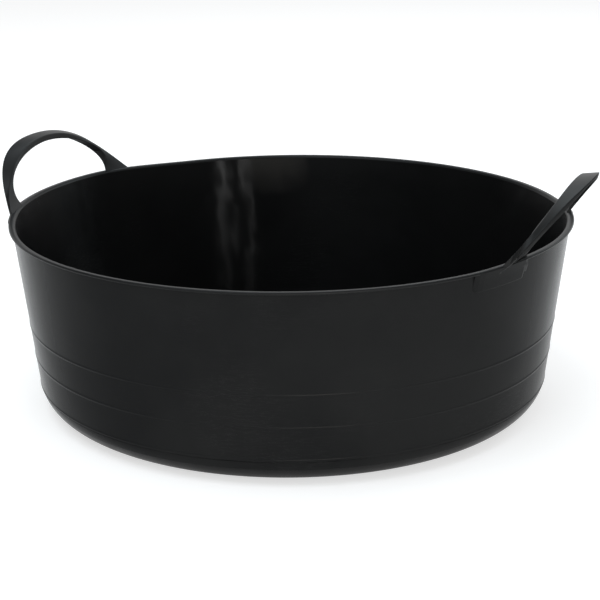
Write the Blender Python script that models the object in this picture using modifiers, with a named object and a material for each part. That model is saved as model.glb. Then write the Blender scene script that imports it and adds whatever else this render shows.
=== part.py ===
"""A shallow flexible tub with two strap handles: a soft moulding, divided where it bends and where it thickens.

The origin is the middle of the footprint on the ground, +Z is up, and +X runs through the middle of the right handle.
Each handle swings on the line through its two roots, parallel to Y.
"""
import math

import bmesh
import bpy
from mathutils import Matrix, Vector

# Driving dimensions, in metres
RIM_RADIUS = 0.205
RIM_HEIGHT = 0.137
WALL_LEAN = math.radians(6.37)
WALL = 0.003
FLANGE_REACH = 0.0024
CORNER_RADIUS = 0.0235
FLOOR_RECESS = 0.0012
STAND_SHARE = 0.70
GATE_RADIUS = 0.0065
GATE_RISE = 0.0007
RIM_DEPTH = 0.0052
LIP_DEPTH = 0.0018
RIM_ROUND = 0.0011
RIM_INNER_ROUND = 0.0026
RIM_UNDER_ROUND = 0.0005
RIDGE_HEIGHTS = (0.0661, 0.0431)
RIDGE_WIDTH = 0.0022
RIDGE_STEP = 0.0005
CLEARANCE = 0.0003

# The handles: a strap that is wide and thin at its crown and narrow and deep at its roots
ROOT_MIDDLE = 0.0744
ROOT_LENGTH = 0.0164
STRAP_RISE = 0.0428
CROWN_THICKNESS = 0.0044
CROWN_WIDTH = 0.0125
CROWN_REACH = 0.0045
ROOT_WIDTH = 0.0084
STRAP_ROUND = 0.0011
PIVOT_INSET = 0.0032
PIVOT_RISE = 0.0060
SWING_IN = math.radians(100)
SWING_OUT = math.radians(40)
ROOT_LEAN = math.radians(34)
LEAN_MARGIN = math.radians(4)

# The roots: a pad on the wall under the lip, and a foot on the rim
FOOT_LEAD = 0.0039
FOOT_TAIL = 0.0020
FOOT_OVERHANG = 0.0022
FOOT_REACH = 0.0028
FOOT_RISE = 0.0050
FOOT_ROUND = 0.0013
LEG_SINK = 0.0094
LEG_ROUND = 0.0006
PAD_LEAD = 0.0014
PAD_TAIL = 0.0228
PAD_DROP = 0.0127
PAD_STEP = 0.0016
PAD_INSET = 0.0012
PAD_CORNER = 0.0036
PAD_SMALL_CORNER = 0.0012
NOTCH_MARGIN = 0.003

SEGMENTS = 96
STRAP_STEPS = 20
FOOT_STEPS = 8
PAD_STEPS = 4

# Worked out from the above
WALL_TOP = RIM_HEIGHT - RIM_DEPTH - CLEARANCE
TAPER = math.tan(WALL_LEAN)
MOUTH_RADIUS = RIM_RADIUS - FLANGE_REACH
GAP_HALF = ROOT_MIDDLE - ROOT_LENGTH / 2
ROOT_HALF = ROOT_MIDDLE + ROOT_LENGTH / 2
PIVOT_HEIGHT = RIM_HEIGHT + PIVOT_RISE
PIVOT_X = math.sqrt((RIM_RADIUS - PIVOT_INSET) ** 2 - ROOT_MIDDLE ** 2)
FOOT_INNER = MOUTH_RADIUS - WALL - FOOT_OVERHANG
FOOT_START = math.asin((GAP_HALF - FOOT_LEAD) / RIM_RADIUS)
FOOT_END = math.asin((ROOT_HALF + FOOT_TAIL) / FOOT_INNER)
PAD_START = FOOT_START - PAD_LEAD / MOUTH_RADIUS
PAD_END = FOOT_END + PAD_TAIL / MOUTH_RADIUS
PAD_TOP = RIM_HEIGHT - LIP_DEPTH - CLEARANCE
CUT_REACH = 4 * ROOT_WIDTH

black = (0.012, 0.0125, 0.0135, 1)


def clear_scene():
    for thing in list(bpy.data.objects):
        bpy.data.objects.remove(thing, do_unlink=True)


def new_collection(name, hidden=False):
    made = bpy.data.collections.new(name)
    bpy.context.scene.collection.children.link(made)
    made.hide_render = hidden
    return made


def plastic(name, roughness, tint=1.0):
    made = bpy.data.materials.new(name)
    made.use_nodes = True
    shader = made.node_tree.nodes["Principled BSDF"]
    shader.inputs["Base Color"].default_value = (black[0] * tint, black[1] * tint, black[2] * tint, 1)
    shader.inputs["Roughness"].default_value = roughness
    shader.inputs["Metallic"].default_value = 0
    return made


def new_object(name, mesh, collection, material=None, place=(0, 0, 0)):
    made = bpy.data.objects.new(name, mesh)
    collection.objects.link(made)
    made.location = place
    if material:
        mesh.materials.append(material)
    mesh.shade_smooth()
    mesh.set_sharp_from_angle(angle=math.radians(32))
    return made


def outer_radius(height):
    """The radius of the wall's outside at this height."""
    return MOUTH_RADIUS - TAPER * (RIM_HEIGHT - height)


def turned(name, profile, collection, material, closed):
    """Turns an outline of (radius, height) points about Z; an open one starts and ends on the axis."""
    mesh = bpy.data.meshes.new(name)
    points = [(radius, 0, height) for radius, height in profile]
    edges = [(i, i + 1) for i in range(len(points) - 1)]
    if closed:
        edges.append((len(points) - 1, 0))
    mesh.from_pydata(points, edges, [])
    made = new_object(name, mesh, collection, material)
    screw = made.modifiers.new("Turn", "SCREW")
    screw.angle = math.tau
    screw.steps = SEGMENTS
    screw.render_steps = SEGMENTS
    screw.use_merge_vertices = True
    screw.merge_threshold = 0.00001
    return made


def arc(centre, radius, start, end, steps):
    """Points on an arc, angles from +radius towards +height."""
    angles = [start + (end - start) * i / steps for i in range(steps + 1)]
    return [(centre[0] + radius * math.cos(a), centre[1] + radius * math.sin(a)) for a in angles]


def loft(name, rings, collection, material=None, place=(0, 0, 0), open_start=False):
    """Skins a closed body over rings of equal length, and points its faces outwards; a half may start open."""
    form = bmesh.new()
    loops = [[form.verts.new(Vector(point) - Vector(place)) for point in ring] for ring in rings]
    for one, two in zip(loops, loops[1:]):
        for i in range(len(one)):
            j = (i + 1) % len(one)
            form.faces.new((one[i], one[j], two[j], two[i]))
    form.faces.new(loops[-1])
    if not open_start:
        form.faces.new(loops[0])
    bmesh.ops.recalc_face_normals(form, faces=form.faces)
    mesh = bpy.data.meshes.new(name)
    form.to_mesh(mesh)
    form.free()
    return new_object(name, mesh, collection, material, place)


def at_angles(section, angles):
    """The section's ring at each of these angles round the tub's axis."""
    rings = []
    for angle in angles:
        across = Vector((math.cos(angle), math.sin(angle), 0))
        rings.append([across * radius + Vector((0, 0, height)) for radius, height in section(angle)])
    return rings


def along_arc(section, start, end, steps):
    """Rings of a (radius, height) section that may change with the angle, set round the tub's axis."""
    return at_angles(section, [mixed(start, end, i / steps) for i in range(steps + 1)])


def cut(thing, cutter, operation="DIFFERENCE"):
    step = thing.modifiers.new(operation.title() + " " + cutter.name, "BOOLEAN")
    step.operation = operation
    step.solver = "EXACT"
    step.object = cutter
    cutter.hide_render = True
    cutter.display_type = "WIRE"


def mixed(a, b, part):
    return a + (b - a) * part


def bezier(points, part):
    """A cubic curve through plain numbers."""
    a, b, c, d = points
    rest = 1 - part
    return a * rest ** 3 + 3 * b * rest ** 2 * part + 3 * c * rest * part ** 2 + d * part ** 3


# The tub

def wall_profile():
    """Down the outside over two witness ridges, and back up the inside."""
    bottom = corner_join()[1] + CLEARANCE
    outside = [(outer_radius(WALL_TOP), WALL_TOP)]
    for height in RIDGE_HEIGHTS:
        for rise, step in ((0.5, 0), (0.2, 1), (-0.2, 1), (-0.5, 0)):
            level = height + rise * RIDGE_WIDTH
            outside.append((outer_radius(level) + step * RIDGE_STEP, level))
    # the third ridge is the foot of the wall, where the rounded corner begins
    for rise, step in ((2.0, 0), (1.6, 1), (1.0, 1)):
        level = bottom + rise * RIDGE_WIDTH
        outside.append((outer_radius(level) + step * RIDGE_STEP, level))
    outside.append((outer_radius(bottom), bottom))
    inside = [(outer_radius(bottom) - WALL, bottom), (outer_radius(WALL_TOP) - WALL, WALL_TOP)]
    return outside + inside


def corner_centre():
    """The centre of the rounding between wall and floor."""
    slope = math.hypot(1, TAPER)
    return outer_radius(CORNER_RADIUS) - CORNER_RADIUS * slope, CORNER_RADIUS


def corner_join():
    """The point where the rounding runs into the wall's outside."""
    tilt = -math.atan(TAPER)
    radius, height = corner_centre()
    return radius + CORNER_RADIUS * math.cos(tilt), height + CORNER_RADIUS * math.sin(tilt)


def floor_profile():
    """From the axis out along the inside, up the corner, over, and down the outside to the raised middle and gate."""
    centre = corner_centre()
    tilt = -math.atan(TAPER)
    top = corner_join()[1]
    inside = arc(centre, CORNER_RADIUS - WALL, -math.pi / 2, tilt, 6)
    outside = arc(centre, CORNER_RADIUS, tilt, -math.pi / 2, 7)
    inside[-1] = (outer_radius(top) - WALL, top)
    outside[0] = (outer_radius(top), top)
    ring = centre[0] * STAND_SHARE
    gate = FLOOR_RECESS - GATE_RISE
    middle = [(ring, 0), (ring - 2 * FLOOR_RECESS, FLOOR_RECESS)]
    middle += [(GATE_RADIUS, FLOOR_RECESS), (GATE_RADIUS - GATE_RISE, gate), (0, gate)]
    raised = [(0, WALL + FLOOR_RECESS), (ring - 2 * FLOOR_RECESS, WALL + FLOOR_RECESS), (ring, WALL)]
    return raised + inside + outside + middle


def rim_profile():
    """The hoop: a domed top with a thin lip that stands out past the wall, over a ring that carries the wall on."""
    low = RIM_HEIGHT - RIM_DEPTH
    under_lip = RIM_HEIGHT - LIP_DEPTH
    small = RIM_UNDER_ROUND
    points = arc((RIM_RADIUS - RIM_ROUND, RIM_HEIGHT - RIM_ROUND), RIM_ROUND, math.pi / 2, 0, 3)
    points += arc((RIM_RADIUS - small, under_lip + small), small, 0, -math.pi / 2, 2)
    points += [(outer_radius(under_lip), under_lip), (outer_radius(low), low), (outer_radius(low) - WALL, low)]
    return points + inner_dome(0)


def inner_dome(gap):
    """The rounding from the rim's inside up to its top, or one at this gap outside it."""
    centre = (MOUTH_RADIUS - WALL + RIM_INNER_ROUND, RIM_HEIGHT - RIM_INNER_ROUND)
    return arc(centre, RIM_INNER_ROUND + gap, math.pi, math.pi / 2, 3)


# The handles

def strap_section(part):
    """Over and under points (Y, Z), inner and outer X; part runs from the crown (0) to the root (1)."""
    top = RIM_HEIGHT + STRAP_RISE
    under_top = top - CROWN_THICKNESS
    foot = PIVOT_HEIGHT
    over_y = bezier((0, 0.45 * ROOT_HALF, 0.78 * ROOT_HALF, ROOT_HALF), part)
    over_z = bezier((top, top, mixed(foot, top, 0.65), foot), part)
    under_y = bezier((0, 0.50 * GAP_HALF, 1.02 * GAP_HALF, GAP_HALF), part)
    under_z = bezier((under_top, under_top, mixed(foot, under_top, 0.60), foot), part)
    # the strap leaves its root at ROOT_LEAN and reaches out past the rim at its crown
    climb = math.tan(ROOT_LEAN) * 0.65 * (STRAP_RISE - PIVOT_RISE)
    crown_inner = RIM_RADIUS + CROWN_REACH
    crown_outer = crown_inner + CROWN_WIDTH
    root_inner = PIVOT_X - ROOT_WIDTH / 2
    root_outer = PIVOT_X + ROOT_WIDTH / 2
    inner = bezier((crown_inner, crown_inner, root_inner + climb, root_inner), part)
    outer = bezier((crown_outer, crown_outer, root_outer + climb, root_outer), part)
    return (over_y, over_z), (under_y, under_z), inner, outer


def strap_ring(over, under, inner, outer):
    """A rounded four-sided ring: over and under are (Y, Z) points, inner and outer are X values."""
    corners = [Vector((inner, *over)), Vector((outer, *over)), Vector((outer, *under)), Vector((inner, *under))]
    points = []
    for i, corner in enumerate(corners):
        before, after = corners[i - 1] - corner, corners[(i + 1) % 4] - corner
        reach_b = min(STRAP_ROUND, before.length * 0.42)
        reach_a = min(STRAP_ROUND, after.length * 0.42)
        start = corner + before.normalized() * reach_b
        end = corner + after.normalized() * reach_a
        middle = corner + (start - corner) * 0.3 + (end - corner) * 0.3
        points += [start, middle, end]
    return points


def build_handle(name, collection, material):
    """One half of the strap from the crown's middle to the rounded root, mirrored across the crown."""
    pivot = Vector((PIVOT_X, 0, PIVOT_HEIGHT))
    rings = []
    for i in range(STRAP_STEPS + 1):
        over, under, inner, outer = strap_section(i / STRAP_STEPS)
        rings.append(strap_ring(over, under, inner, outer))
    # the root ends in a half round about the pivot line
    half = ROOT_WIDTH / 2
    for i in range(1, 6):
        angle = math.radians(17 * i)
        reach = half * math.cos(angle)
        level = PIVOT_HEIGHT - half * math.sin(angle)
        rings.append(strap_ring((ROOT_HALF, level), (GAP_HALF, level), PIVOT_X - reach, PIVOT_X + reach))
    made = loft(name, rings, collection, material, pivot, open_start=True)
    mirror = made.modifiers.new("Other half", "MIRROR")
    mirror.use_axis = (False, True, False)
    mirror.merge_threshold = 0.00005
    return made


# The roots

def quarter_round(away, radius):
    """How far a rounded corner draws in at this distance from its end."""
    return radius - math.sqrt(max(0.0, radius ** 2 - max(0.0, radius - away) ** 2))


def foot_angles():
    """Angles close together at the ends, where the edges are rounded."""
    near = [FOOT_ROUND * share for share in (0, 0.12, 0.45, 1)]
    first = [FOOT_START + away / RIM_RADIUS for away in near]
    last = [FOOT_END - away / RIM_RADIUS for away in reversed(near)]
    return first + [mixed(first[-1], last[0], i / FOOT_STEPS) for i in range(1, FOOT_STEPS)] + last


def foot_section(angle):
    """The foot over the rim and the leg down past it, as a section (radius, height) at this angle."""
    run = (angle - FOOT_START) / (FOOT_END - FOOT_START)
    fall = max(0.0, (run - 0.72) / 0.28)
    drawn_in = quarter_round(min(angle - FOOT_START, FOOT_END - angle) * RIM_RADIUS, FOOT_ROUND)
    low = RIM_HEIGHT + CLEARANCE
    top = RIM_HEIGHT + mixed(FOOT_RISE, FOOT_RISE * 0.3, fall) - drawn_in * (1 - fall)
    inner = FOOT_INNER + drawn_in
    outer = RIM_RADIUS + FOOT_REACH - drawn_in
    notch = MOUTH_RADIUS + CLEARANCE
    sunk = PAD_TOP - LEG_SINK
    leg = outer_radius(sunk) + 2 * CLEARANCE
    edge = FOOT_RISE * 0.22
    # the underside hooks over the rim's dome, and the leg runs down through the notch into the pad
    under = [(inner, RIM_HEIGHT - RIM_INNER_ROUND)] + inner_dome(CLEARANCE) + [(notch, low)]
    return under + [
        (notch, PAD_TOP - 2 * CLEARANCE), (leg, sunk), (leg + LEG_ROUND, sunk),
        (outer - LEG_ROUND, PAD_TOP + 2 * LEG_ROUND), (outer, RIM_HEIGHT),
        (outer, top - edge), (outer - edge, top), (inner + edge, top), (inner, top - edge),
    ]


def pad_section(angle):
    """The pad on the wall's outside: thick under the lip, thin at its rounded lower corners."""
    away = min(angle - PAD_START, PAD_END - angle) * MOUTH_RADIUS
    corner = PAD_CORNER if angle > (PAD_START + PAD_END) / 2 else PAD_SMALL_CORNER
    low = PAD_TOP - PAD_DROP + quarter_round(away, corner)
    edge = PAD_STEP * 0.5
    flush = RIM_RADIUS - PAD_INSET
    face_low = outer_radius(low) + PAD_STEP
    face_edge = mixed(face_low, flush, edge / (PAD_TOP - low))
    step = edge * max(0.0, 1 - away / edge)
    return [
        (outer_radius(PAD_TOP) + CLEARANCE, PAD_TOP), (flush - step, PAD_TOP), (face_edge - step, low + edge),
        (face_low - edge - step, low), (outer_radius(low) + CLEARANCE, low),
    ]


def pad_angles():
    """Angles close together at the ends, where the corners turn, and the foot's own angles between them."""
    shares = (0, 0.08, 0.24, 0.48, 0.75, 1)
    first = [PAD_START + PAD_SMALL_CORNER * share / MOUTH_RADIUS for share in shares]
    last = [PAD_END - PAD_CORNER * share / MOUTH_RADIUS for share in reversed(shares)]
    between = [mixed(FOOT_END, last[0], i / PAD_STEPS) for i in range(1, PAD_STEPS)]
    return first + foot_angles() + between + last


def saddle_outline():
    """The space that the strap's root sweeps as it swings: (X, Z) points, a round trough between two slopes."""
    radius = ROOT_WIDTH / 2 + CLEARANCE
    lean_in = ROOT_LEAN - SWING_IN - LEAN_MARGIN
    lean_out = ROOT_LEAN + SWING_OUT + LEAN_MARGIN
    start = math.atan2(math.sin(lean_in), -math.cos(lean_in))
    end = math.atan2(-math.sin(lean_out), math.cos(lean_out))
    trough = arc((PIVOT_X, PIVOT_HEIGHT), radius, start, end, 8)
    inner_end = (trough[0][0] + CUT_REACH * math.sin(lean_in), trough[0][1] + CUT_REACH * math.cos(lean_in))
    outer_end = (trough[-1][0] + CUT_REACH * math.sin(lean_out), trough[-1][1] + CUT_REACH * math.cos(lean_out))
    above = PIVOT_HEIGHT + CUT_REACH
    return [inner_end] + trough + [outer_end, (outer_end[0], above), (inner_end[0], above)]


def build_root(name, side, collection, cutters, material):
    """One root of the right-hand handle; side is 1 for the one at +Y and -1 for the one at -Y."""
    foot = loft(name, at_angles(foot_section, foot_angles()), collection, material)
    pad = loft(name + "_pad", at_angles(pad_section, pad_angles()), cutters)
    outline = saddle_outline()
    ends = (GAP_HALF - CLEARANCE, ROOT_HALF + CLEARANCE)
    saddle = loft(name + "_saddle", [[Vector((x, y, z)) for x, z in outline] for y in ends], cutters)
    if side < 0:
        for thing in (foot, pad, saddle):
            thing.data.transform(Matrix.Diagonal((1, -1, 1, 1)))
            thing.data.flip_normals()
    cut(foot, pad, "UNION")
    cut(foot, saddle)
    weld = foot.modifiers.new("Weld", "WELD")
    weld.merge_threshold = 0.00003
    return foot


def turned_about(thing, name, collection, cutters):
    """A copy of a piece, and of its cutters, for the opposite side of the tub."""
    made = thing.copy()
    made.name = name
    collection.objects.link(made)
    made.matrix_world = Matrix.Rotation(math.pi, 4, "Z") @ thing.matrix_world
    for step in made.modifiers:
        if step.type == "BOOLEAN":
            tool = step.object.copy()
            tool.name = name + "_" + step.object.name.rsplit("_", 1)[1]
            cutters.objects.link(tool)
            tool.matrix_world = Matrix.Rotation(math.pi, 4, "Z") @ step.object.matrix_world
            step.object = tool
    return made


def notch_cutter(name, start, end, cutters):
    """The stretch of lip that gives way to a root's leg."""
    inner = MOUTH_RADIUS
    outer = RIM_RADIUS + NOTCH_MARGIN
    low = RIM_HEIGHT - RIM_DEPTH - NOTCH_MARGIN
    high = RIM_HEIGHT + NOTCH_MARGIN
    section = [(inner, high), (outer, high), (outer, low), (inner, low)]
    side = CLEARANCE / RIM_RADIUS
    return loft(name, along_arc(lambda angle: section, start - side, end + side, FOOT_STEPS), cutters)


def main():
    clear_scene()
    parts = new_collection("flexible_tub")
    cutters = new_collection("flexible_tub_cutters", hidden=True)
    satin = plastic("wall_plastic", 0.34)
    smooth = plastic("floor_plastic", 0.40)
    edge = plastic("rim_plastic", 0.30, 1.3)
    soft = plastic("handle_plastic", 0.38, 1.5)
    thick = plastic("root_plastic", 0.36, 1.2)

    turned("tub_wall", wall_profile(), parts, satin, closed=True)
    turned("tub_floor", floor_profile(), parts, smooth, closed=False)
    rim = turned("rim", rim_profile(), parts, edge, closed=True)
    for quarter, (start, end) in enumerate(((FOOT_START, FOOT_END), (-FOOT_END, -FOOT_START))):
        for half in (0, 1):
            tool = notch_cutter("notch_%d_%d" % (quarter, half), start + math.pi * half, end + math.pi * half, cutters)
            cut(rim, tool)

    back = build_root("right_back_root", 1, parts, cutters, thick)
    front = build_root("right_front_root", -1, parts, cutters, thick)
    turned_about(back, "left_front_root", parts, cutters)
    turned_about(front, "left_back_root", parts, cutters)

    right = build_handle("right_handle", parts, soft)
    left = bpy.data.objects.new("left_handle", right.data)
    parts.objects.link(left)
    left.matrix_world = Matrix.Rotation(math.pi, 4, "Z") @ Matrix.Translation(right.location)
    mirror = left.modifiers.new("Other half", "MIRROR")
    mirror.use_axis = (False, True, False)
    mirror.merge_threshold = 0.00005


main()
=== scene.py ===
"""A shallow black flexible tub with two strap handles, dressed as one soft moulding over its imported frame."""

import math

import bmesh
import bpy
from mathutils import Matrix, Quaternion, Vector, noise


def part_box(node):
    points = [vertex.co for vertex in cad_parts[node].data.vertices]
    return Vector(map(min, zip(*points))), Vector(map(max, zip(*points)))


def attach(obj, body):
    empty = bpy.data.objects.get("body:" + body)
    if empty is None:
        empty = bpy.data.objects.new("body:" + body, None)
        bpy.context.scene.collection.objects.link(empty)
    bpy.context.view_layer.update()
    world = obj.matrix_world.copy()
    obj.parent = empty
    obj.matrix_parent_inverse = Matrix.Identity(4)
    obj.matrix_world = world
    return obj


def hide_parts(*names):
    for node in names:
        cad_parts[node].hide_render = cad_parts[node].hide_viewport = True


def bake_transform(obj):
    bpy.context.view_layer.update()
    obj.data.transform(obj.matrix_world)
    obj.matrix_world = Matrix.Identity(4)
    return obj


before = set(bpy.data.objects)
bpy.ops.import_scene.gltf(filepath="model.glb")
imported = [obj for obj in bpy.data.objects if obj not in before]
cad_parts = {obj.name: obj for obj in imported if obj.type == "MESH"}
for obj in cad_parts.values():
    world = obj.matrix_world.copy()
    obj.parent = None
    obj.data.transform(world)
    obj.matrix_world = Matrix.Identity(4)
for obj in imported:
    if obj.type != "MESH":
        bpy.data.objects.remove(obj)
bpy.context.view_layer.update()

# Sizes taken from the frame, in metres
rim_low, rim_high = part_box("rim")
wall_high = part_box("tub_wall")[1]
floor_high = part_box("tub_floor")[1]
RIM_RADIUS = rim_high.y
RIM_TOP = rim_high.z
RIM_DEPTH = rim_high.z - rim_low.z
TAPER = (wall_high.y - floor_high.y) / (wall_high.z - floor_high.z)
WALL_TOP_RADIUS = wall_high.y + TAPER * (RIM_TOP - wall_high.z)

# The moulding, in metres
WALL = 0.0028
LIP_DEPTH = 0.0017
UNDER_LIP = RIM_TOP - LIP_DEPTH
INNER_DOME = 0.0026
OUTER_DOME = 0.0010
LIP_EDGE = 0.0005
CORNER_RADIUS = 0.0235
# The flat ring that the tub stands on starts at this share of the floor's radius, and the middle is raised
RING_SHARE = 0.70
RECESS = 0.0012
RIDGE_HEIGHTS = (0.0661, 0.0431, 0.0198)
RIDGE_WIDTH = 0.0016
RIDGE_STEP = 0.00032
SPIN_STEPS = 288
SAME_PLACE = 0.000004
# A soft wall's slow swell, and how many swells there are to a metre round it and up it
SWELL = 0.00035
SWELLS_ROUND = 11
SWELLS_UP = 7
# Nothing within this radius swells
STIFF_RADIUS = 0.15
# How far the handle on each side draws the rim up and out, and the degrees from the handle's middle at which
# that starts to fade and has gone
RIGHT_DRAW = (0.0017, 0.0008, 14, 34)
LEFT_DRAW = (0.0030, 0.0012, 14, 42)
# The heights between which the wall takes up that draw, upward and outward
DRAWN_UP = (0.105, 0.130)
DRAWN_OUT = (0.085, RIM_TOP)

# The tub's skins, in the order of its material slots, and the handles' skins in theirs; the inner skin and the strap
# side skin are darker copies of the same plastic, painted shade
INSIDE, OUTSIDE, LIP = 0, 1, 2
# the strap's side slot holds a darker, duller copy of its skin for faces turned outward or down: painted shade
STRAP_FACE, SIDE_SHADE_SLOT, PAD = 0, 1, 2
# How far past the lip's edges a face may lie and still have its skin
SKIN_SLACK = 0.0001
# A height between the underside and the inner floor
IN_THE_FLOOR = 0.002

# The handles
LEAN = math.radians(1.24)
STRAP_STATIONS = 56
CORNER_POINTS = 5
# The heights above the rim over which the lean comes in, and at which the strap is clear of its root
LEAN_HEIGHT = 0.012
CLEAR_OF_ROOT = 0.004
# The strap's long edges from the middle of its crown to its root: over inner, over outer, under outer, under inner;
# each point is (radius, run along the rim, height above the rim)
STRAP_EDGES = (
    ((0.2092, 0, 0.0425), (0.2092, 0.0419, 0.0425), (0.2143, 0.0667, 0.0229), (0.2045, 0.0908, 0.0012)),
    ((0.2211, 0, 0.0431), (0.2211, 0.0264, 0.0431), (0.2244, 0.0750, 0.0389), (0.2080, 0.0728, 0.0020),
     (0.2050, 0.0946, -0.0034)),
    ((0.2212, 0, 0.0409), (0.2212, 0.0314, 0.0409), (0.2175, 0.0746, 0.0185), (0.2044, 0.0654, 0.0030)),
    ((0.2085, 0, 0.0379), (0.2085, 0.0341, 0.0379), (0.2114, 0.0829, 0.0218), (0.2021, 0.0642, 0.0032)),
)
# The same four corners where the root sinks into the rim and runs down into its pad
ROOT_CORNERS = (
    ((0.2032, 0.0916, -0.0008), (0.2048, 0.0954, -0.0042), (0.2053, 0.0650, 0.0002), (0.2010, 0.0640, -0.0002)),
    ((0.2016, 0.0922, -0.0030), (0.2036, 0.0958, -0.0058), (0.2053, 0.0647, -0.0040), (0.2006, 0.0638, -0.0030)),
    ((0.2008, 0.0926, -0.0060), (0.2012, 0.0960, -0.0076), (0.2040, 0.0646, -0.0085), (0.2004, 0.0638, -0.0070)),
)
# How far the four corners are rounded in the crown and at the root; the outer upper one is rounder at the root
CROWN_ROUNDINGS = (0.0009, 0.0010, 0.0008, 0.0008)
ROOT_ROUNDINGS = (0.0009, 0.0017, 0.0008, 0.0008)
# The pads on the wall under the roots: where they start and end round the wall, and their shape in metres
PAD_START = math.radians(18.3)
PAD_END = math.radians(32.2)
PAD_DROP = 0.0092
PAD_STEP = 0.0013
# How much thicker the pad is at its top
PAD_FLUSH = 0.0017
PAD_EDGE = 0.0009
# How far the pad runs into the wall and the lip
PAD_SUNK = 0.0008
# The radius of the pad's lower corner and the length that its end rises over, at its start and at its end
PAD_START_CORNER, PAD_START_RISE = 0.00126, 0.0022
PAD_END_CORNER, PAD_END_RISE = 0.0036, 0.0050

# The camera, from the rim, the sides and the base edge in the photograph
CAMERA_AZIMUTH = math.radians(23.2)
CAMERA_ELEVATION = math.radians(20.71)
CAMERA_DISTANCE = 1.12563
CAMERA_AIM_RIGHT = 0.00596
CAMERA_AIM_HEIGHT = 0.06822
CAMERA_ROLL = math.radians(0.574)
CAMERA_LENS = 87.97
SENSOR = 36

# The studio: how white a reflection shows the room above and in front, the all-round light, and the lamps' tints
ROOM = 0.12
AMBIENT = 0.5
COOL = (0.86, 0.95, 1.0)
WARM = (1.0, 0.96, 0.88)
LAMP_AIM_HEIGHT = 0.08


def wall_radius(height):
    """The radius of the wall's outside at this height."""
    return WALL_TOP_RADIUS - TAPER * (RIM_TOP - height)


def mixed(a, b, part):
    return a + (b - a) * part


def eased(value, low, high):
    """0 below low, 1 above high, smooth between."""
    part = min(1.0, max(0.0, (value - low) / (high - low)))
    return part * part * (3 - 2 * part)


def arc(centre, radius, start, end, steps):
    """Points on an arc in a (radius, height) section; angles in degrees from +radius towards +height."""
    points = []
    for i in range(steps + 1):
        angle = math.radians(mixed(start, end, i / steps))
        points.append((centre[0] + radius * math.cos(angle), centre[1] + radius * math.sin(angle)))
    return points


def seen_from(azimuth, elevation, distance):
    """A place round the tub, in radians from the front towards +x and up from level."""
    level = math.cos(elevation)
    return distance * Vector((math.sin(azimuth) * level, -math.cos(azimuth) * level, math.sin(elevation)))


def linked(name, data):
    """A new object in the scene."""
    made = bpy.data.objects.new(name, data)
    bpy.context.scene.collection.objects.link(made)
    return made


def finished(form, name, materials, sharp, body=None):
    """Turns a bmesh into a piece with outward faces, smooth but for creases sharper than that many degrees."""
    bmesh.ops.remove_doubles(form, verts=form.verts, dist=SAME_PLACE)
    bmesh.ops.recalc_face_normals(form, faces=form.faces)
    mesh = bpy.data.meshes.new(name)
    form.to_mesh(mesh)
    form.free()
    for material in materials:
        mesh.materials.append(material)
    mesh.shade_smooth()
    mesh.set_sharp_from_angle(angle=math.radians(sharp))
    piece = linked(name, mesh)
    if body:
        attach(piece, body)
    return piece


# Shaders

class Value:
    """A socket that takes part in Python expressions; each operation adds its Math node."""

    def __init__(self, tree, socket):
        self.tree = tree
        self.socket = socket

    def _math(self, operation, *others):
        return self.tree.node("ShaderNodeMath", {"operation": operation}, dict(enumerate((self, *others))))

    def __add__(self, other):
        return self._math("ADD", other)

    __radd__ = __add__

    def __sub__(self, other):
        return self._math("SUBTRACT", other)

    def __rsub__(self, other):
        return self.tree.node("ShaderNodeMath", {"operation": "SUBTRACT"}, {0: other, 1: self})

    def __mul__(self, other):
        return self._math("MULTIPLY", other)

    def or_more(self, other):
        return self._math("MAXIMUM", other)

    def over(self, low, high, bottom=0.0, top=1.0):
        """The bottom value below low, the top one above high, smooth between."""
        inputs = {"Value": self, "From Min": low, "From Max": high, "To Min": bottom, "To Max": top}
        return self.tree.node("ShaderNodeMapRange", {"interpolation_type": "SMOOTHSTEP"}, inputs)

    def near(self, level, width):
        """1 at the level, falling to 0 at width from it."""
        away = self._math("SUBTRACT", level)._math("ABSOLUTE")
        return 1 - away.over(0, width)

    def clamped(self):
        return self.tree.node("ShaderNodeClamp", {}, {"Value": self})


class ShaderTree:
    """The nodes of a material or of the world."""

    def __init__(self, tree):
        self.nodes = tree.nodes
        self.links = tree.links

    def node(self, kind, settings, inputs, output=0):
        """Adds a node, sets it up, feeds its inputs and gives one of its outputs."""
        made = self.nodes.new(kind)
        for key, value in settings.items():
            setattr(made, key, value)
        for key, value in inputs.items():
            self.feed(made.inputs[key], value)
        return Value(self, made.outputs[output])

    def feed(self, socket, value):
        if isinstance(value, Value):
            self.links.new(value.socket, socket)
        else:
            socket.default_value = value

    def ray(self, kind):
        """1 for rays of this kind, such as Is Camera Ray."""
        return self.node("ShaderNodeLightPath", {}, {}, kind)


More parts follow.
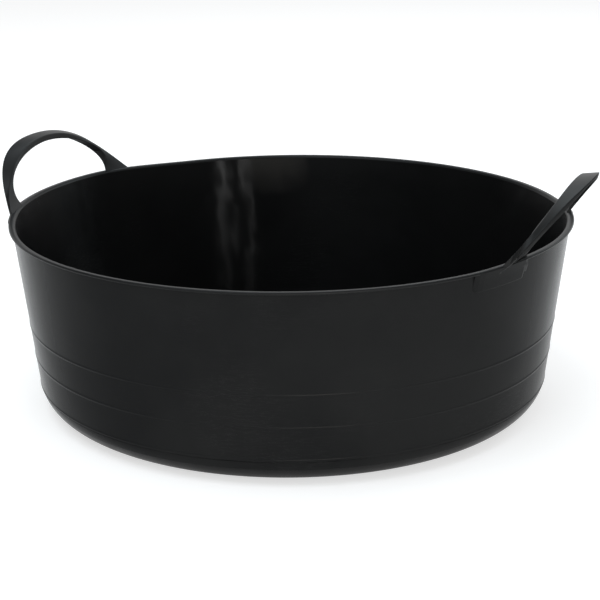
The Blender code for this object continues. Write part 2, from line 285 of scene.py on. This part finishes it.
class Finish(ShaderTree):
    """A material with its Principled shader."""

    def __init__(self, name):
        self.material = bpy.data.materials.new(name)
        self.material.use_nodes = True
        super().__init__(self.material.node_tree)
        self.shader = self.nodes["Principled BSDF"]
        self.place = self.node("ShaderNodeTexCoord", {}, {}, "Object")

    def set(self, **values):
        """Feeds the shader's sockets, named with underscores for spaces."""
        for key, value in values.items():
            self.feed(self.shader.inputs[key.replace("_", " ")], value)

    def stretched(self, x, y, z):
        """Object coordinates, scaled."""
        return self.node("ShaderNodeMapping", {}, {"Vector": self.place, "Scale": (x, y, z)})

    def grain(self, scale, detail=3.0, roughness=0.5, place=None):
        """Noise from 0 to 1."""
        inputs = {"Vector": place or self.place, "Scale": scale, "Detail": detail, "Roughness": roughness}
        return self.node("ShaderNodeTexNoise", {}, inputs, "Fac")

    def blend_colour(self, part, low, high):
        """A colour from low to high; each of the two is a Value or three numbers."""
        ends = [(*end, 1) if isinstance(end, tuple) else end for end in (low, high)]
        return self.node("ShaderNodeMix", {"data_type": "RGBA"}, {0: part, 6: ends[0], 7: ends[1]}, 2)

    def bumped(self, relief, depth, under=None):
        """A normal that stands relief (0 to 1) out by depth in metres."""
        inputs = {"Height": relief, "Distance": depth, "Strength": 1.0}
        if under:
            inputs["Normal"] = under
        return self.node("ShaderNodeBump", {}, inputs)


def moulded_plastic(name, shade, sheen, gloss, drawn=0.0, scuffs=1.0, waves=0.0006):
    """Black soft polyethylene: a satin skin with faint flow clouds and scuffs; drawn stretches its shine upright.

    Sheen is its roughness, gloss how strongly it reflects, shade scales its colour, and waves the depth of its slow
    unevenness in metres. The inner skin's and the strap sides' low shade is painted shade.
    """
    finish = Finish(name)
    clouds = finish.grain(9.0, detail=4.0)
    fine = finish.grain(900.0, detail=2.0)
    # scuffs: long thin marks, mostly level, in scattered patches
    marks = finish.grain(60.0, detail=5.0, roughness=0.65, place=finish.stretched(1.0, 1.0, 9.0))
    patches = finish.grain(14.0, detail=2.0).over(0.48, 0.66)
    scuff = (marks.near(0.5, 0.018) * patches) * (0.35 * scuffs)
    dust = finish.grain(420.0, detail=1.0).over(0.72, 0.80) * 0.12
    dark = (0.0085 * shade, 0.0088 * shade, 0.0092 * shade)
    light = (0.0125 * shade, 0.0128 * shade, 0.013 * shade)
    worn = (0.040 * shade, 0.040 * shade, 0.040 * shade)
    base = finish.blend_colour(clouds.over(0.3, 0.7), dark, light)
    base = finish.blend_colour((scuff + dust).clamped() * 0.6, base, worn)
    rough = sheen + (clouds - 0.5) * 0.10 + (fine - 0.5) * 0.06 + scuff * 0.25
    swell = finish.grain(22.0, detail=2.0)
    normal = finish.bumped(fine, 0.000006, under=finish.bumped(swell, waves))
    finish.set(Base_Color=base, Roughness=rough, Normal=normal, Specular_IOR_Level=gloss,
               Anisotropic=drawn, Anisotropic_Rotation=0.25)
    return finish.material


# The tub

def tub_outline():
    """From the floor's middle out and up the inside, over the rim, down the outside and back under the floor."""
    slope = math.hypot(1, TAPER)
    tilt = -math.degrees(math.atan(TAPER))
    centre = (wall_radius(CORNER_RADIUS) - CORNER_RADIUS * slope, CORNER_RADIUS)
    ring = centre[0] * RING_SHARE
    points = [(0, WALL + RECESS), (ring - 0.004, WALL + RECESS), (ring - 0.002, WALL + RECESS * 0.7), (ring, WALL)]
    points += arc(centre, CORNER_RADIUS - WALL, -90, tilt, 18)
    for height in (0.040, 0.060, 0.080, 0.100, 0.118, RIM_TOP - 0.006):
        points.append((wall_radius(height) - WALL, height))
    # the rim: domed from its inside to a thin lip, with a small sharp step back to the wall
    points += arc((wall_radius(RIM_TOP) - WALL + INNER_DOME, RIM_TOP - INNER_DOME), INNER_DOME, 180, 90, 9)
    points += arc((RIM_RADIUS - OUTER_DOME, RIM_TOP - OUTER_DOME), OUTER_DOME, 90, 0, 9)
    points += arc((RIM_RADIUS - LIP_EDGE, UNDER_LIP + LIP_EDGE), LIP_EDGE, 0, -90, 4)
    wall_here = wall_radius(UNDER_LIP - LIP_EDGE)
    points += arc((wall_here + LIP_EDGE, UNDER_LIP - LIP_EDGE), LIP_EDGE, 90, 180 + tilt, 4)
    # the outside, over the witness ridges
    for height in RIDGE_HEIGHTS:
        for rise, step in ((1.0, 0), (0.55, 0), (0.3, 0.65), (0, 1), (-0.3, 0.65), (-0.55, 0), (-1.0, 0)):
            level = height + rise * RIDGE_WIDTH
            points.append((wall_radius(level) + step * RIDGE_STEP, level))
    points += arc(centre, CORNER_RADIUS, tilt, -90, 22)
    points += [(ring, 0), (ring - 0.0012, RECESS * 0.4), (ring - 0.0024, RECESS), (0.010, RECESS)]
    # the gate's trimmed stub in the middle of the underside
    points += [(0.0075, RECESS), (0.0065, RECESS - 0.0007), (0, RECESS - 0.0007)]
    return points


def slackened(place):
    """A soft wall is never quite true: a slow swell, and a rim that the handles draw up and out about their feet."""
    radius = math.hypot(place.x, place.y)
    if radius < STIFF_RADIUS:
        return place
    level = min(1.0, max(0.0, place.z / RIM_TOP))
    rough_place = Vector((place.x * SWELLS_ROUND, place.y * SWELLS_ROUND, place.z * SWELLS_UP))
    swell = noise.noise(rough_place) * SWELL * math.sin(math.pi * level)
    away = math.degrees(abs(math.atan2(place.y, abs(place.x))))
    rise, reach, full, none = RIGHT_DRAW if place.x > 0 else LEFT_DRAW
    between = 1 - eased(away, full, none)
    swell += reach * between * eased(place.z, *DRAWN_OUT)
    scale = 1 + swell / radius
    return Vector((place.x * scale, place.y * scale, place.z + rise * between * eased(place.z, *DRAWN_UP)))


def skin_of(place):
    """The tub's skin at this place. The inner skin, a darker copy painted as shade, also takes in the lower turn
    under the wall.
    """
    radius = math.hypot(place.x, place.y)
    outside_here = wall_radius(place.z)
    if place.z > UNDER_LIP - SKIN_SLACK and radius > outside_here - WALL + 2 * SKIN_SLACK:
        return LIP
    if place.z > IN_THE_FLOOR and radius < outside_here - WALL * 0.6:
        return INSIDE
    return OUTSIDE


def build_tub(materials):
    """The wall, the floor and the rim, turned as one."""
    form = bmesh.new()
    verts = [form.verts.new((radius, 0, height)) for radius, height in tub_outline()]
    edges = [form.edges.new(pair) for pair in zip(verts, verts[1:])]
    bmesh.ops.spin(form, geom=verts + edges, cent=(0, 0, 0), axis=(0, 0, 1), angle=math.tau,
                   steps=SPIN_STEPS, use_merge=True)
    bmesh.ops.remove_doubles(form, verts=form.verts, dist=SAME_PLACE)
    for face in form.faces:
        face.material_index = skin_of(face.calc_center_median())
    for vert in form.verts:
        vert.co = slackened(vert.co)
    return finished(form, "tub_moulding", materials, sharp=50, body="tub")


# The handles

def drawn(points, part):
    """A point on the curve over any number of control points."""
    line = [Vector(point) for point in points]
    while len(line) > 1:
        line = [one.lerp(two, part) for one, two in zip(line, line[1:])]
    return line[0]


def set_round(place, lean):
    """The place of a (radius, run along the rim, height above it) point, in a handle that leans from its feet."""
    angle = place[1] / RIM_RADIUS
    flat = Vector((place[0] * math.cos(angle), place[0] * math.sin(angle), place[2]))
    lean *= eased(flat.z, 0.0, LEAN_HEIGHT)
    feet = RIM_RADIUS * math.cos(STRAP_EDGES[0][3][1] / RIM_RADIUS)
    leaned = Matrix.Rotation(lean, 3, "Y") @ (flat - Vector((feet, 0, 0)))
    return leaned + Vector((feet, 0, RIM_TOP))


def rounded_ring(corners, roundings):
    """A four-cornered ring with each corner turned in a few points."""
    points = []
    for i, corner in enumerate(corners):
        before = corners[i - 1] - corner
        after = corners[(i + 1) % 4] - corner
        start = corner + before.normalized() * min(roundings[i], before.length * 0.45)
        end = corner + after.normalized() * min(roundings[i], after.length * 0.45)
        for j in range(CORNER_POINTS):
            part = j / (CORNER_POINTS - 1)
            points.append(start * (1 - part) ** 2 + corner * 2 * part * (1 - part) + end * part ** 2)
    return points


def drawn_along(form, rings):
    """Extrudes a face from the first ring through all the others."""
    row = [form.verts.new(point) for point in rings[0]]
    face = form.faces.new(row)
    face.normal_update()
    for ring in rings[1:]:
        made = bmesh.ops.extrude_face_region(form, geom=[face])["geom"]
        face = next(item for item in made if isinstance(item, bmesh.types.BMFace))
        # the new vertices lie on the old ones, which tells which is which
        row = [min(face.verts, key=lambda vert: (vert.co - old.co).length_squared) for old in row]
        for vert, point in zip(row, ring):
            vert.co = point


def across(rings):
    """The same rings on the other side of the handle's middle."""
    return [[Vector((point.x, -point.y, point.z)) for point in ring] for ring in rings]


def strap_rings(lean):
    """Rings from one root over the crown to the other, each end run down inside the rim and its pad."""
    sections = []
    for i in range(STRAP_STATIONS + 1):
        part = i / STRAP_STATIONS
        roundings = [mixed(crown, root, part) for crown, root in zip(CROWN_ROUNDINGS, ROOT_ROUNDINGS)]
        sections.append(([drawn(edge, part) for edge in STRAP_EDGES], roundings))
    sections += [(corners, ROOT_ROUNDINGS) for corners in ROOT_CORNERS]
    half = []
    for corners, roundings in sections:
        half.append(rounded_ring([set_round(corner, lean) for corner in corners], roundings))
    return across(half)[:0:-1] + half


def pad_section(angle):
    """The pad at this angle round the wall: thick under the lip, with rounded lower corners."""
    away = min(angle - PAD_START, PAD_END - angle) * WALL_TOP_RADIUS
    corner, end_rise = PAD_START_CORNER, PAD_START_RISE
    if angle > (PAD_START + PAD_END) / 2:
        corner, end_rise = PAD_END_CORNER, PAD_END_RISE
    lift = corner - math.sqrt(max(0.0, corner ** 2 - max(0.0, corner - away) ** 2))
    top = UNDER_LIP + PAD_SUNK
    low = RIM_TOP - RIM_DEPTH - PAD_DROP + lift
    step = PAD_STEP * mixed(0.15, 1.0, min(1.0, away / end_rise))
    points = [(wall_radius(top) - PAD_SUNK, top), (wall_radius(top) + step + PAD_FLUSH, top)]
    for part in (0.25, 0.5, 0.75):
        level = mixed(top, low, part)
        points.append((wall_radius(level) + step + PAD_FLUSH * (1 - part) ** 2, level))
    points += arc((wall_radius(low) + step - PAD_EDGE, low + PAD_EDGE), PAD_EDGE, 0, -90, 3)
    points.append((wall_radius(low) - PAD_SUNK, low))
    return points


def pad_rings():
    """The pad's sections from the end under the loop to the far end, closer together at both."""
    near = (0, 0.0003, 0.0007, 0.0012, 0.0018, 0.0026, PAD_END_CORNER)
    first = [PAD_START + away / WALL_TOP_RADIUS for away in near]
    last = [PAD_END - away / WALL_TOP_RADIUS for away in reversed(near)]
    between = [mixed(first[-1], last[0], i / 10) for i in range(1, 10)]
    rings = []
    for angle in first + between + last:
        outward = Vector((math.cos(angle), math.sin(angle), 0))
        rings.append([outward * radius + Vector((0, 0, height)) for radius, height in pad_section(angle)])
    return rings


def build_handle(name, turn, lean, materials):
    """A strap with its two roots and pads."""
    form = bmesh.new()
    drawn_along(form, strap_rings(lean))
    form.normal_update()
    # faces turned outward or down, clear of the root, take the strap's darker, duller copy: painted shade
    for face in form.faces:
        narrow_side = face.normal.x > 0.5 or face.normal.z < -0.5
        clear_of_root = face.calc_center_median().z > RIM_TOP + CLEAR_OF_ROOT
        face.material_index = SIDE_SHADE_SLOT if narrow_side and clear_of_root else STRAP_FACE
    strap_faces = set(form.faces)
    strap_verts = set(form.verts)
    drawn_along(form, pad_rings())
    drawn_along(form, across(pad_rings()))
    if turn:
        bmesh.ops.rotate(form, verts=form.verts, cent=(0, 0, 0), matrix=Matrix.Rotation(math.pi, 3, "Z"))
    # the pads are the wall's own skin and follow its swell
    for face in form.faces:
        if face not in strap_faces:
            face.material_index = PAD
    for vert in form.verts:
        if vert not in strap_verts:
            vert.co = slackened(vert.co)
    piece = finished(form, name, materials, sharp=40)
    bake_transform(piece)
    return piece


# The studio

def build_camera():
    """The photograph's viewing angle."""
    place = seen_from(CAMERA_AZIMUTH, CAMERA_ELEVATION, CAMERA_DISTANCE)
    data = bpy.data.cameras.new("camera")
    data.lens = CAMERA_LENS
    data.sensor_width = SENSOR
    camera = linked("camera", data)
    camera.location = place
    rightward = Vector((math.cos(CAMERA_AZIMUTH), math.sin(CAMERA_AZIMUTH), 0))
    aim = CAMERA_AIM_RIGHT * rightward + Vector((0, 0, CAMERA_AIM_HEIGHT))
    look = (aim - place).to_track_quat("-Z", "Y")
    camera.rotation_mode = "QUATERNION"
    camera.rotation_quaternion = look @ Quaternion((0, 0, 1), -CAMERA_ROLL)
    bpy.context.scene.camera = camera


def soft_lamp(name, azimuth, elevation, distance, size, power, tint=(1, 1, 1), shape="RECTANGLE"):
    """An area lamp at a place round the tub, in degrees as the camera's azimuth, turned to the tub."""
    data = bpy.data.lights.new(name, "AREA")
    data.shape = shape
    data.size, data.size_y = size
    data.energy = power
    data.color = tint
    lamp = linked(name, data)
    place = seen_from(math.radians(azimuth), math.radians(elevation), distance)
    lamp.location = place + Vector((0, 0, LAMP_AIM_HEIGHT))
    lamp.rotation_euler = (-place).to_track_quat("-Z", "Y").to_euler()


def build_lamps():
    soft_lamp("overhead_softbox", azimuth=-20, elevation=70, distance=2.2, size=(1.6, 1.6), power=28, tint=COOL)
    soft_lamp("left_softbox", azimuth=-50, elevation=35, distance=2.4, size=(1.0, 1.4), power=1, tint=COOL)
    soft_lamp("front_softbox", azimuth=31, elevation=2.5, distance=2.4, size=(1.3, 0.3), power=16, tint=WARM,
              shape="ELLIPSE")
    soft_lamp("right_softbox", azimuth=150, elevation=30, distance=2.4, size=(1.0, 1.0), power=10, tint=COOL)
    soft_lamp("back_softbox", azimuth=195, elevation=48, distance=2.4, size=(1.2, 1.0), power=10, tint=COOL)
    # two tall narrow strips at the right whose reflections run down the inside at the back
    soft_lamp("near_strip", azimuth=44.5, elevation=14, distance=3.0, size=(0.05, 1.2), power=5.5)
    soft_lamp("far_strip", azimuth=56.5, elevation=14, distance=3.0, size=(0.08, 1.2), power=10)


def build_world():
    """White to the camera; a reflection shows that white behind the tub, and a duller room above and in front."""
    world = bpy.data.worlds.new("studio")
    bpy.context.scene.world = world
    world.use_nodes = True
    tree = ShaderTree(world.node_tree)
    tree.nodes.clear()
    facing = tree.node("ShaderNodeTexCoord", {}, {}, "Generated")
    straight_on = (-math.sin(CAMERA_AZIMUTH), math.cos(CAMERA_AZIMUTH), 0)
    behind = tree.node("ShaderNodeVectorMath", {"operation": "DOT_PRODUCT"}, {0: facing, 1: straight_on}, "Value")
    upward = tree.node("ShaderNodeSeparateXYZ", {}, {0: facing}, "Z")
    white = behind.over(0.1, 0.95, bottom=ROOM) * upward.over(0.24, 0.62, bottom=1.0, top=ROOM)
    seen = tree.ray("Is Camera Ray").or_more(tree.ray("Is Transmission Ray"))
    reflected = tree.ray("Is Glossy Ray") * white
    strength = seen.or_more(reflected).or_more(tree.ray("Is Diffuse Ray") * AMBIENT)
    background = tree.node("ShaderNodeBackground", {}, {"Color": (1, 1, 1, 1), "Strength": strength})
    out = tree.nodes.new("ShaderNodeOutputWorld")
    tree.feed(out.inputs["Surface"], background)


def build_floor():
    """A pale floor that keeps a soft shadow and is otherwise white to the camera."""
    form = bmesh.new()
    bmesh.ops.create_grid(form, x_segments=1, y_segments=1, size=9)
    mesh = bpy.data.meshes.new("studio_floor")
    form.to_mesh(mesh)
    form.free()
    floor = linked("studio_floor", mesh)
    finish = Finish("pale_floor")
    tone = finish.grain(3.0).over(0.2, 0.8)
    pale = finish.blend_colour(tone, (0.80, 0.80, 0.80), (0.84, 0.84, 0.84))
    seen = (finish.ray("Is Camera Ray") + finish.ray("Is Glossy Ray") + finish.ray("Is Transmission Ray")).clamped()
    finish.set(Base_Color=finish.blend_colour(seen, pale, (0.55, 0.55, 0.55)), Roughness=0.9,
               Emission_Color=finish.blend_colour(seen, (0, 0, 0), (0.60, 0.60, 0.60)),
               Emission_Strength=1.0, Specular_IOR_Level=0.0)
    mesh.materials.append(finish.material)


bpy.context.scene.view_settings.view_transform = "Standard"

outside = moulded_plastic("outer_skin", shade=1.15, sheen=0.20, gloss=0.027, waves=0.0003)
# the inner skin is the outer plastic darkened in colour to 0.45 against 1.15: painted shade inside the tub; its
# drawn shine and swell are its own
inside = moulded_plastic("inside_painted_shade", shade=0.45, sheen=0.24, gloss=0.10, drawn=1.0, scuffs=0.5, waves=0.0015)
lip = moulded_plastic("rim_skin", shade=1.0, sheen=0.34, gloss=0.10)
strap = moulded_plastic("strap_skin", shade=1.0, sheen=0.40, gloss=0.12)
# the strap's outward and downward faces: the same plastic, darker in colour and duller, as painted shade
painted_shade_strap = moulded_plastic("strap_outer_faces_painted_shade", shade=0.8, sheen=0.45, gloss=0.008)

tub = build_tub([inside, outside, lip])
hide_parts("tub_wall", "tub_floor", "rim")
# the right handle leans out a little and the left one in, as in the photograph
right = build_handle("right_strap", False, LEAN, [strap, painted_shade_strap, outside])
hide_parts("right_handle", "right_front_root", "right_back_root")
left = build_handle("left_strap", True, -LEAN, [strap, painted_shade_strap, outside])
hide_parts("left_handle", "left_front_root", "left_back_root")

build_camera()
build_world()
build_floor()
build_lamps()
